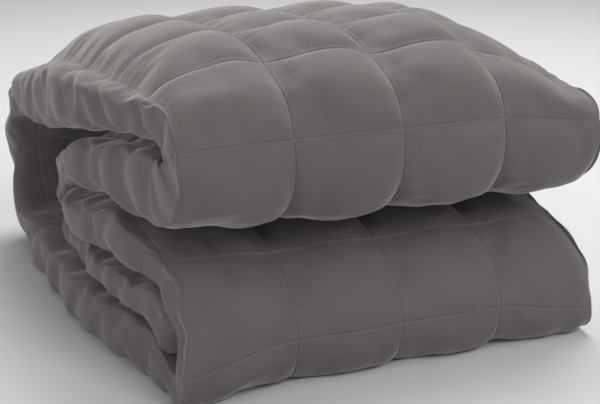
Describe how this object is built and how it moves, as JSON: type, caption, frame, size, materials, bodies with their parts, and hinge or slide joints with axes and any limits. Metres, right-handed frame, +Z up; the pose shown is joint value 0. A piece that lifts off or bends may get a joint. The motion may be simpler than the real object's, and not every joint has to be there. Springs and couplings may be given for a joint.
{
  "type": "weighted blanket",
  "caption": "thick square-quilted weighted blanket folded into a bundle with two rounded front lips and an open loop at the back, for storing or dressing a bed, shelf or bench",
  "frame": {"origin": "on the resting surface, below the middle of the bundle's box", "axes": "+Z up, the two folded lips face -Y and the back loop faces +Y, the fold lines run along X"},
  "size_m": [0.4776, 0.569, 0.2957],
  "materials": {
    "quilted_cloth": "soft brushed microfibre in warm charcoal grey, matte with a faint sheen, sewn in squares"
  },
  "bodies": {
    "root": {"blanket": "quilted_cloth"}
  },
  "joints": []
}
